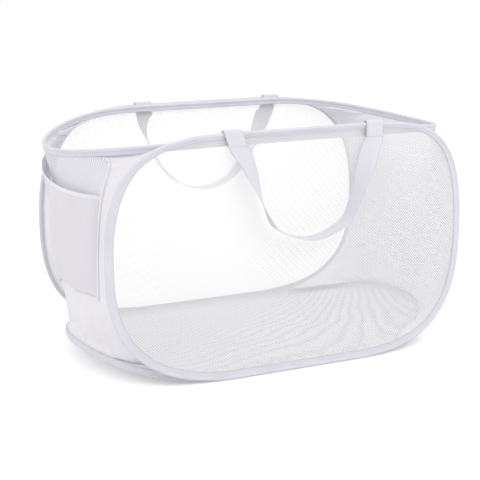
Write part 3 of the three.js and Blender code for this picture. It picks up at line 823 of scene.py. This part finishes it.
HOOPS = {
    "base": (ring_hoop(BASE), "base"),
    "front": (panel_hoop(-1), "front_panel"),
    "back": (panel_hoop(1), "back_panel"),
    "rim": (ring_hoop(RIM), "rim"),
}
for number, (hoop_name, (hoop, body)) in enumerate(HOOPS.items()):
    add_binding(hoop_name + "_binding", hoop, body, number * HOOP_PHASE)
    for node, look in (("_wire", wire_look), ("_wire_crimp", crimp_look)):
        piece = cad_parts[hoop_name + node]
        piece.data.materials.clear()
        piece.data.materials.append(look)


# Nets of the front, the back and the base

NET_SHARES = np.append(np.linspace(1, NET_MIDDLE_SHARE, NET_RINGS), 0)[:, None]


def slack_share(first, second, waves, phase):
    """Uneven slack of a net, from -1 to 1, that fades out at its held edge."""
    along, sway, sway_rate, across, fade = waves
    slanted = np.sin(along * first + sway * np.sin(sway_rate * second))
    return slanted * np.cos(across * second + phase) * (1 - NET_SHARES ** fade)


def net_piece(node, look, body, points, plane):
    """Net from rings of points, from the hoop to the middle, with threads along two axes."""
    uv = points[..., plane]
    uv = np.concatenate([uv, uv[:, :1]], 1)
    piece = welded(grid_piece(node + "_net", points, uv, look, False, True))
    stand_in(piece, body, node)


def panel_net(side, node, body, look):
    hoop = panel_hoop(side, NET_STEP)
    edge = on_frames(hoop, -NET_TUCK, 0.0)
    x = NET_SHARES * edge[None, :, 0]
    z = panel_centre + NET_SHARES * (edge[None, :, 2] - panel_centre)
    sag = PANEL_SAG * slack_share(x, z, PANEL_WAVES, 2 * side)
    y = side * (panel_plane - bow_depth(x)) + sag
    points = np.stack([x, y, z], -1)
    net_piece(node, look, body, points, [0, 2])


def base_net():
    hoop = ring_hoop(BASE, NET_STEP)
    edge = on_frames(hoop, -BULB_DEPTH, -LEG_HALF)
    x = NET_SHARES * edge[None, :, 0]
    y = NET_SHARES * edge[None, :, 1]
    run = np.clip((np.abs(x) - seam_run) / (BASE["reach"] - seam_run), 0, 1)
    slack = BASE_SLACK * slack_share(x, y, BASE_WAVES, 0)
    gather = hill(NET_SHARES, GATHER_SHARE, GATHER_WIDTH_SHARE) * np.where(y < 0, 1.0, GATHER_BACK_SHARE)
    rate, sway, sway_rate, slow_share, slow_rate = GATHER_WAVES
    wave = np.sin(rate * x + sway * np.sin(sway_rate * x))
    gather = gather * (wave + slow_share * np.sin(slow_rate * x))
    z = BULB_DEPTH + BASE_RISE * run ** RISE_SHARE + slack + GATHER_HEIGHT * gather
    points = np.stack([x, y, z], -1)
    look = net_looks["base_net"]
    net_piece("base_mesh", look, "base", points, [0, 1])


panel_net(-1, "front_mesh", "front_panel", net_looks["panel_net"])
panel_net(1, "back_mesh", "back_panel", net_looks["back_net"])
base_net()


# Cloth ends

def end_edges(end_side, u, v):
    """The four edges of an end's cloth, at the hoops that hold it."""
    hoop_turn = math.pi / 2 * HOOP_CORNER_SHARE

    def ring_at(ring, share):
        side = np.where(share < 0.5, -1, 1)
        near = 1 - np.abs(2 * share - 1)
        turn = END_CORNER_SHARE + (1 - END_CORNER_SHARE) * near
        return on_frames(ring_frames(ring, turn, end_side, side), -RING_TAPE, 0.0)

    def hoop_at(side, share):
        angle = hoop_turn * (2 * share - 1)
        frames = panel_frames(angle if end_side > 0 else math.pi - angle, side)
        return on_frames(frames, -END_INSET, -side * (BULB_HALF + END_CLOTH))

    return ring_at(BASE, u), ring_at(RIM, u), hoop_at(-1, v), hoop_at(1, v)


def shares(steps):
    return np.linspace(0, 1, steps + 1)


def share_grid(columns, rows):
    """Shares across as one row, and shares up as one column."""
    return shares(columns)[None, :], shares(rows)[:, None]


def stretched_grid(end_side):
    """The smooth surface between the four edges, rows from the foot up."""
    u, v = shares(END_COLUMNS), shares(END_ROWS)
    foot, head, near, far = end_edges(end_side, u, v)
    level = foot[None] + (head - foot)[None] * v[:, None, None]
    across = near[:, None] + (far - near)[:, None] * u[None, :, None]
    grid = (level + across) / 2
    grid[0, 1:-1], grid[-1, 1:-1] = foot[1:-1], head[1:-1]
    grid[1:-1, 0], grid[1:-1, -1] = near[1:-1], far[1:-1]
    for _ in range(SMOOTHING_ROUNDS):
        inner = grid[:-2, 1:-1] + grid[2:, 1:-1] + grid[1:-1, :-2] + grid[1:-1, 2:]
        grid[1:-1, 1:-1] = inner / 4
    return grid


def grid_normals(grid, end_side):
    across = np.gradient(grid, axis=1)
    up = np.gradient(grid, axis=0)
    normal = unit(np.cross(across, up))
    return normal * np.sign(normal[..., :1] * end_side + TINY)


def fold_height(folds, u, v):
    fade = np.minimum(1, arch(u) / FOLD_FADE_SHARE) * np.minimum(1, arch(v) / FOLD_FADE_SHARE)
    total = np.zeros(np.broadcast(u, v).shape)
    for across, up, width, height, share in folds:
        total = total + share * np.exp(-((u - across) / width) ** 2 - ((v - up) / height) ** 2)
    return FOLD_DEPTH * total * fade


def wrinkles(u, v, phase):
    """Fine creases that run up and down, strongest where the cloth is gathered."""
    gather = sum(share * hill(v, middle, width) for middle, width, share in GATHERED_SHARES)
    turn = 2 * math.pi
    count, sway, sway_rate = FINE_WRINKLES
    fine = np.sin(turn * (count * u + sway * np.sin(sway_rate * v + phase)) + phase)
    count, sway, sway_rate = FINER_WRINKLES
    finer = np.sin(turn * (count * u - sway * np.sin(sway_rate * v)) + 2 * phase)
    across, up, second_up, second_across = SLOW_COUNTS
    slow = np.sin(turn * (across * u + up * v) + phase)
    slow = slow * np.sin(turn * (second_up * v - second_across * u))
    edge = np.minimum(1, arch(v) / WRINKLE_EDGE_SHARE)
    return (WRINKLE_HEIGHT * gather * (fine + FINER_SHARE * finer) + SLOW_HEIGHT * slow) * edge


def draped(grid):
    """The grid after a cloth simulation held at its four edges."""
    rows, columns = grid.shape[:2]
    piece = grid_piece("end_drape", grid, np.zeros((rows, columns, 2)), cloth_look)
    inside = np.ones((rows, columns), bool)
    inside[[0, -1], :] = False
    inside[:, [0, -1]] = False
    held = piece.vertex_groups.new(name="held")
    held.add(np.flatnonzero(~inside.ravel()).tolist(), 1.0, "REPLACE")
    cloth = piece.modifiers.new("cloth", "CLOTH")
    for name, value in CLOTH_SETTINGS.items():
        setattr(cloth.settings, name, value)
    cloth.settings.vertex_group_mass = held.name
    cloth.collision_settings.use_collision = False
    cloth.point_cache.frame_end = DRAPE_FRAMES
    scene = bpy.context.scene
    for step in range(1, DRAPE_FRAMES + 1):
        scene.frame_set(step)
    settled = piece.evaluated_get(bpy.context.evaluated_depsgraph_get())
    found = np.empty(rows * columns * 3, np.float32)
    settled.data.vertices.foreach_get("co", found)
    scene.frame_set(1)
    bpy.data.objects.remove(piece)
    moved = found.reshape(rows, columns, 3).astype(float) - grid
    far = np.linalg.norm(moved, axis=-1, keepdims=True)
    return grid + moved * np.minimum(1, CLOTH_TRAVEL / np.maximum(far, TINY))


class End:
    """Surface of one end, sampled at shares across and up."""

    def __init__(self, end_side, folds, phase):
        smooth = stretched_grid(end_side)
        u, v = share_grid(END_COLUMNS, END_ROWS)
        height = fold_height(folds, u, v) + wrinkles(u, v, phase)
        self.grid = smooth + grid_normals(smooth, end_side) * height[..., None]
        self.grid = draped(self.grid)
        self.normal = grid_normals(self.grid, end_side)
        self.wide = np.linalg.norm(np.diff(smooth, axis=1), axis=2).sum(1).mean()
        self.tall = np.linalg.norm(np.diff(smooth, axis=0), axis=2).sum(0).mean()

    def at(self, u, v):
        """Places and normals at shares across and up."""
        u, v = np.broadcast_arrays(np.clip(u, 0, 1), np.clip(v, 0, 1))
        column, row = u * END_COLUMNS, bent_share(u, v) * END_ROWS
        c = np.minimum(END_COLUMNS - 1, column.astype(int))
        r = np.minimum(END_ROWS - 1, row.astype(int))
        s, t = (column - c)[..., None], (row - r)[..., None]

        def mixed(values):
            low = values[r, c] * (1 - s) + values[r, c + 1] * s
            high = values[r + 1, c] * (1 - s) + values[r + 1, c + 1] * s
            return low * (1 - t) + high * t

        return mixed(self.grid), unit(mixed(self.normal))

    def piece(self, name, u, v, material):
        place, _ = self.at(u, v)
        uv = np.stack(np.broadcast_arrays(u * self.wide, v * self.tall), -1)
        return grid_piece(name, place, uv, material)


def bent_share(u, v):
    """Share up the end, with the window's foot line raised towards its near corner."""
    foot = WINDOW_FOOT_SHARE + FOOT_RISE_SHARE * hill(u, SEAM_FOOT_SHARE, FOOT_RISE_WIDTH_SHARE)
    low = v / WINDOW_FOOT_SHARE * foot
    high = foot + (v - WINDOW_FOOT_SHARE) / (1 - WINDOW_FOOT_SHARE) * (1 - foot)
    return np.where(v < WINDOW_FOOT_SHARE, low, high)


def seam_share(v):
    """Share across the end of the window's near seam, at a share up it."""
    climb = (v - WINDOW_FOOT_SHARE) / (SEAM_HEAD_SHARE - WINDOW_FOOT_SHARE)
    lean = np.maximum(0, climb - SEAM_LEAN_FROM_SHARE) ** 2
    hook = np.maximum(0, v - SEAM_HOOK_FROM_SHARE) ** 2
    return SEAM_FOOT_SHARE - SEAM_DRIFT_SHARE * climb - SEAM_LEAN_SHARE * lean - SEAM_HOOK_SHARE * hook


def soft_on_base(piece, node):
    """Rides on the base, with a mesh of its own."""
    stand_in(piece, "base", node)
    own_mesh(piece)


def soft_sheet(piece, node):
    """Sheet of an end, riding on the base with a mesh of its own."""
    soft_on_base(piece, node)


def thicken(piece):
    modifier = piece.modifiers.new("thickness", "SOLIDIFY")
    modifier.thickness = END_CLOTH
    modifier.offset = 0
    choose(piece)
    bpy.ops.object.modifier_apply(modifier=modifier.name)


def merged(name, first, second):
    """One object from two that share an edge."""
    choose(first, second)
    bpy.ops.object.join()
    first.name = name
    return welded(first)


def right_cloth(end):
    piece = end.piece("right_end_fabric", *share_grid(END_COLUMNS, END_ROWS), cloth_look)
    thicken(piece)
    soft_sheet(piece, "right_end_cloth")


def left_cloth(end, high_v):
    """Cloth under the window and on both sides of it."""
    foot_seam = seam_share(WINDOW_FOOT_SHARE)
    low_v = np.linspace(0, WINDOW_FOOT_SHARE, LOW_ROWS + 1)[:, None]
    near = shares(SIDE_COLUMNS)[None, :]
    under = foot_seam + shares(WINDOW_COLUMNS)[None, 1:] * (WINDOW_FAR_SHARE - foot_seam)
    far = WINDOW_FAR_SHARE + shares(FAR_COLUMNS)[None, :] * (1 - WINDOW_FAR_SHARE)
    low_u = np.concatenate([near * foot_seam, under, far[:, 1:]], 1)
    low_part = end.piece("left_low", low_u, low_v, cloth_look)
    near_part = end.piece("left_side", near * seam_share(high_v), high_v, cloth_look)
    far_part = end.piece("left_far", far, high_v, cloth_look)
    piece = merged("left_end_fabric", merged("left_near", low_part, near_part), far_part)
    thicken(piece)
    soft_sheet(piece, "left_end_cloth")


def window_piece(end, high_v):
    near = seam_share(high_v)
    u = near + (WINDOW_FAR_SHARE - near) * shares(WINDOW_COLUMNS)[None, :]
    piece = end.piece("window_net", u, high_v, net_looks["window_net"])
    soft_sheet(piece, "window_mesh")


# Pocket with its hem, and the piping on the window's seam

def pocket_surface(end, across, up):
    """Places, normals and shares of the pocket, which swells and hugs its seams."""
    mouth = MOUTH_NEAR_SHARE + (MOUTH_FAR_SHARE - MOUTH_NEAR_SHARE) * across
    mouth = mouth + MOUTH_ARCH_SHARE * arch(across)
    v = WINDOW_FOOT_SHARE + (mouth - WINDOW_FOOT_SHARE) * up
    near = seam_share(v) + POCKET_TUCK_SHARE
    u = near + (POCKET_FAR_SHARE - near) * across
    place, normal = end.at(u, v)
    swell = np.sqrt(np.maximum(0, arch(across) * np.sin(math.pi * BELLY_UP_SHARE * up)))
    swell = swell * (1 - BELLY_FADE_SHARE * across)
    wave = np.sin(POCKET_WAVES[0] * across + POCKET_WAVES[1] * up)
    slack = POCKET_SLACK * wave * np.sin(math.pi * up) * arch(across)
    sewn = np.minimum(1, across / SEWN_SHARE)
    away = END_CLOTH + LAYER_GAP * sewn + POCKET_BELLY * swell + slack
    return place + normal * away[..., None], normal, u, v


def pocket_piece(end):
    """The pocket's net; gives its points and normals for the hem."""
    points, normals, u, v = pocket_surface(end, *share_grid(POCKET_COLUMNS, POCKET_ROWS))
    uv = np.stack([u * end.wide + KNIT_SHIFT[0], v * end.tall + KNIT_SHIFT[1]], -1)
    piece = grid_piece("pocket_net", points, uv, net_looks["pocket_net"])
    soft_sheet(piece, "pocket_mesh")
    return points, normals


def hem_piece(points, normals):
    """Folded tape over the pocket's mouth, closed all round its section."""
    mouth, normal = points[-1], normals[-1]
    below = unit(points[-1 - HEM_ROWS] - mouth)
    face = [(-HEM_ROLL, HEM_HALF), (HEM_FULL_AT, HEM_HALF * HEM_FULL_SHARE)]
    face.append((HEM_WIDTH - HEM_TAPER, HEM_HALF))
    underside = [(down, -away) for down, away in face[::-1]]
    section = face + [(HEM_WIDTH, 0.0)] + underside + [(-HEM_NOSE, 0.0)]
    rings = np.stack([mouth + below * down + normal * away for down, away in section], 1)
    uv = uv_grid(lengths_along(mouth), lengths_along(np.array(section), closed=True))
    soft_on_base(grid_piece("pocket_hem_tape", rings, uv, hem_look, False, True), "pocket_hem")


def piping_piece(end):
    """Flattened cord along the window's near seam."""
    lowest = WINDOW_FOOT_SHARE - PIPING_OVERRUN_SHARES[0]
    v = np.linspace(lowest, SEAM_HEAD_SHARE + PIPING_OVERRUN_SHARES[1], PIPING_STEPS)
    place, normal = end.at(seam_share(v), v)
    centre = place + normal * (END_CLOTH / 2 + PIPING_RADIUS * PIPING_SEAT_SHARE)
    side = unit(np.cross(unit(np.gradient(centre, axis=0)), normal)) * PIPING_WIDE_SHARE
    angles = shares(PIPING_SIDES) * 2 * math.pi
    rings = [centre + PIPING_RADIUS * (math.cos(a) * side + math.sin(a) * normal) for a in angles[:-1]]
    uv = uv_grid(lengths_along(centre), angles * PIPING_RADIUS)
    piece = grid_piece("window_piping_cord", np.stack(rings, 1), uv, hem_look, False, True)
    soft_on_base(piece, "window_piping")


right_cloth(End(1, RIGHT_FOLD_SHARES, RIGHT_PHASE))
left_end = End(-1, LEFT_FOLD_SHARES, LEFT_PHASE)
above_foot = np.linspace(WINDOW_FOOT_SHARE, 1, HIGH_ROWS + 1)[:, None]
left_cloth(left_end, above_foot)
window_piece(left_end, above_foot)
hem_piece(*pocket_piece(left_end))
piping_piece(left_end)


# Handles

def spline(points, count):
    """Evenly spaced points on a smooth curve through the given ones."""
    padded = np.vstack([2 * points[0] - points[1], points, 2 * points[-1] - points[-2]])
    t = shares(SPLINE_STEPS)[:-1, None]
    fine = []
    for a, b, c, d in zip(padded, padded[1:], padded[2:], padded[3:]):
        bend = (2 * a - 5 * b + 4 * c - d) * t ** 2 + (3 * b - a - 3 * c + d) * t ** 3
        fine.append(0.5 * (2 * b + (c - a) * t + bend))
    fine = np.vstack(fine + [points[-1:]])
    at = lengths_along(fine)
    return interpolated(np.linspace(0, at[-1], count), at, fine)


def strap_frames(handle):
    """Frames along a loop that leaves its tabs flat and turns a quarter on its way down."""
    half = [(share * handle["span"] / 2, 0, -down * handle["drop"]) for share, down in handle["loop_shares"]]
    mirrored = [(-x, y, z) for x, y, z in half[:0:-1]]
    line = spline(np.array(mirrored + half), STRAP_STEPS)
    left = np.clip(1 + line[:, 2] / handle["drop"], 0, 1)
    place_share = (1 + line[:, 0] / np.abs(line[:, 0]).max()) / 2
    low_twist, high_twist = handle["twists"]
    turn = math.pi / 2 * (1 - left ** (low_twist + (high_twist - low_twist) * place_share))
    lean = np.where(line[:, 0] < 0, *handle["leans"]) * left ** LEAN_POWER
    side = handle["side"]
    y = side * (strap_plane + HANDLE_REACH * np.sin(turn))
    place = np.stack([handle["middle"] + line[:, 0] + lean, y, pivot_height - CLEARANCE + line[:, 2]], -1)
    along = unit(np.gradient(place, axis=0))
    blend = np.clip(lengths_along(place) / STRAP_START, 0, 1)
    blend = np.minimum(blend, blend[::-1])[:, None]
    first = np.where(np.arange(STRAP_STEPS)[:, None] < STRAP_STEPS / 2, 1.0, -1.0)
    along = unit(along * blend + np.array([[0, 0, -1.0]]) * first * (1 - blend))
    edge = unit(np.cross(along, np.array([0.0, side, 0.0])))
    level = unit(np.cross(edge, along))
    out = edge * np.cos(turn)[:, None] + level * np.sin(turn)[:, None]
    return {"place": place, "out": out, "through": unit(np.cross(along, out))}


def webbing_section(half, edge_share):
    """Corners round the webbing: ways across and ways through it, thinner at its edges."""
    section = []
    for face in (1, -1):
        for share in np.linspace(-face, face, SECTION_STEPS):
            at_edge = abs(share) == 1
            across = share * half * (edge_share if at_edge else 1)
            section.append((across, face * STRAP_CLOTH / 2 * (SELVEDGE_SHARE if at_edge else 1)))
    return section


def webbing_piece(name, line, rings, section, body, node):
    """Tube of webbing along a line, from the rings of its section."""
    uv = uv_grid(lengths_along(line), lengths_along(np.array(section), closed=True))
    piece = grid_piece(name, np.stack(rings, 1), uv, strap_look, False, True)
    stand_in(piece, body, node)
    return piece


def strap_piece(handle):
    frames = strap_frames(handle)
    section = webbing_section(STRAP_WIDTH / 2, SELVEDGE_WIDTH_SHARE)
    rings = [on_frames(frames, across, through) for across, through in section]
    body = handle["name"] + "_handle"
    webbing_piece(body + "_webbing", frames["place"], rings, section, body, body + "_strap")


def tab_line(low, high, side):
    """Line of a tab: up from its strap, over the hoop's top and down behind it."""
    middle = (low[1] + high[1]) / 2
    inner = middle - side * (2 * BULB_HALF + STRAP_CLOTH + 2 * CLEARANCE)
    turn, radius = (middle + inner) / 2, abs(middle - inner) / 2
    foot = low[2] - CLEARANCE * TAB_FOOT_SHARE
    foot_y = side * strap_plane - middle
    top = high[2] - TAB_DROP
    rise, over, flap = TAB_STEPS
    path = [(middle + foot_y * (1 - share) ** 2, foot + (top - foot) * share) for share in shares(rise - 1)]
    for angle in np.linspace(TAB_CROWN_START, math.pi - TAB_CROWN_START, over):
        path.append((turn + side * radius * math.cos(angle), top + TAB_CROWN * math.sin(angle)))
    path += [(inner, z) for z in np.linspace(top, high[2] - TAB_FLAP, flap)]
    return np.array([(0, y, z) for y, z in path])


def tab_piece(handle, word, lean):
    """Webbing end, flat on the binding and folded over its top, in line with its strap."""
    node = f"{handle['name']}_handle_{word}_tab"
    low, high = [np.array(corner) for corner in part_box(node)]
    line = tab_line(low, high, handle["side"])
    away = np.cross(unit(np.gradient(line, axis=0)), np.array([[1.0, 0, 0]])) * -handle["side"]
    middle = line + np.array([(low[0] + high[0]) / 2, 0, 0])
    middle[:, 0] += lean * np.clip((high[2] - line[:, 2]) / (high[2] - low[2]), 0, 1)
    section = webbing_section((high[0] - low[0]) / 2, 1)
    rings = [middle + np.array([across, 0, 0]) + away * through for across, through in section]
    piece = webbing_piece(node + "_webbing", line, rings, section, handle["name"] + "_panel", node)
    mended(piece, bpy.ops.mesh.fill_holes, sides=0)


for handle in HANDLES:
    strap_piece(handle)
    for word, lean in zip(("left", "right"), handle["leans"]):
        tab_piece(handle, word, lean)


# Floor, light and camera

def white_room():
    """Even light all round, and plain white wherever the eye or a shine looks past."""
    world = bpy.data.worlds.new("studio")
    bpy.context.scene.world = world
    world.use_nodes = True
    tree = world.node_tree
    nodes = Nodes(tree)
    light = tree.nodes["Background"]
    nodes.fill(light, {"Color": WHITE, "Strength": ROOM_STRENGTH})
    seen = nodes.add("ShaderNodeBackground", {"Color": WHITE})
    either = nodes.add("ShaderNodeLightPath", output="Is Camera Ray")
    for ray in ("Is Glossy Ray", "Is Transmission Ray"):
        either = nodes.math("MAXIMUM", either, nodes.add("ShaderNodeLightPath", output=ray))
    mixed = nodes.add("ShaderNodeMixShader", {0: either, 1: light.outputs[0], 2: seen})
    nodes.fill(tree.nodes["World Output"], {"Surface": mixed})


def white_floor():
    ways = ((-1, -1), (1, -1), (1, 1), (-1, 1))
    corners = [(x * FLOOR_REACH, y * FLOOR_REACH, -FLOOR_DROP) for x, y in ways]
    floor = mesh_object("floor", corners, [(0, 1, 2, 3)])
    made, nodes, shader = node_material("floor")
    seen = nodes.add("ShaderNodeLightPath", output="Is Camera Ray")
    nodes.fill(shader, {
        "Base Color": FLOOR_COLOUR, "Roughness": 1.0, "Specular IOR Level": 0.0,
        "Emission Color": WHITE, "Emission Strength": nodes.math("MULTIPLY", seen, FLOOR_GLOW),
    })
    floor.data.materials.append(made)


def area_light(name, place, aim, power):
    data = bpy.data.lights.new(name, "AREA")
    data.shape = "DISK"
    data.size = LAMP_SIZE
    data.energy = power
    lamp = linked(name, data)
    lamp.location = place
    lamp.rotation_euler = (Vector(aim) - Vector(place)).to_track_quat("-Z", "Y").to_euler()


def photo_camera():
    data = bpy.data.cameras.new("camera")
    data.sensor_width = SENSOR_MM
    data.lens = CAMERA_FOCAL_PX / PHOTO_PX * SENSOR_MM
    data.clip_end = CAMERA_FAR
    camera = linked("camera", data)
    level = Matrix.Rotation(-CAMERA_YAW, 4, "Z") @ Matrix.Rotation(math.pi / 2 - CAMERA_PITCH, 4, "X")
    turned = level @ Matrix.Rotation(CAMERA_ROLL, 4, "Z")
    camera.matrix_world = Matrix.Translation(CAMERA_PLACE) @ turned
    bpy.context.scene.camera = camera


white_room()
white_floor()
for lamp in LAMPS:
    area_light(*lamp)
photo_camera()
bpy.context.scene.view_settings.view_transform = "Standard"
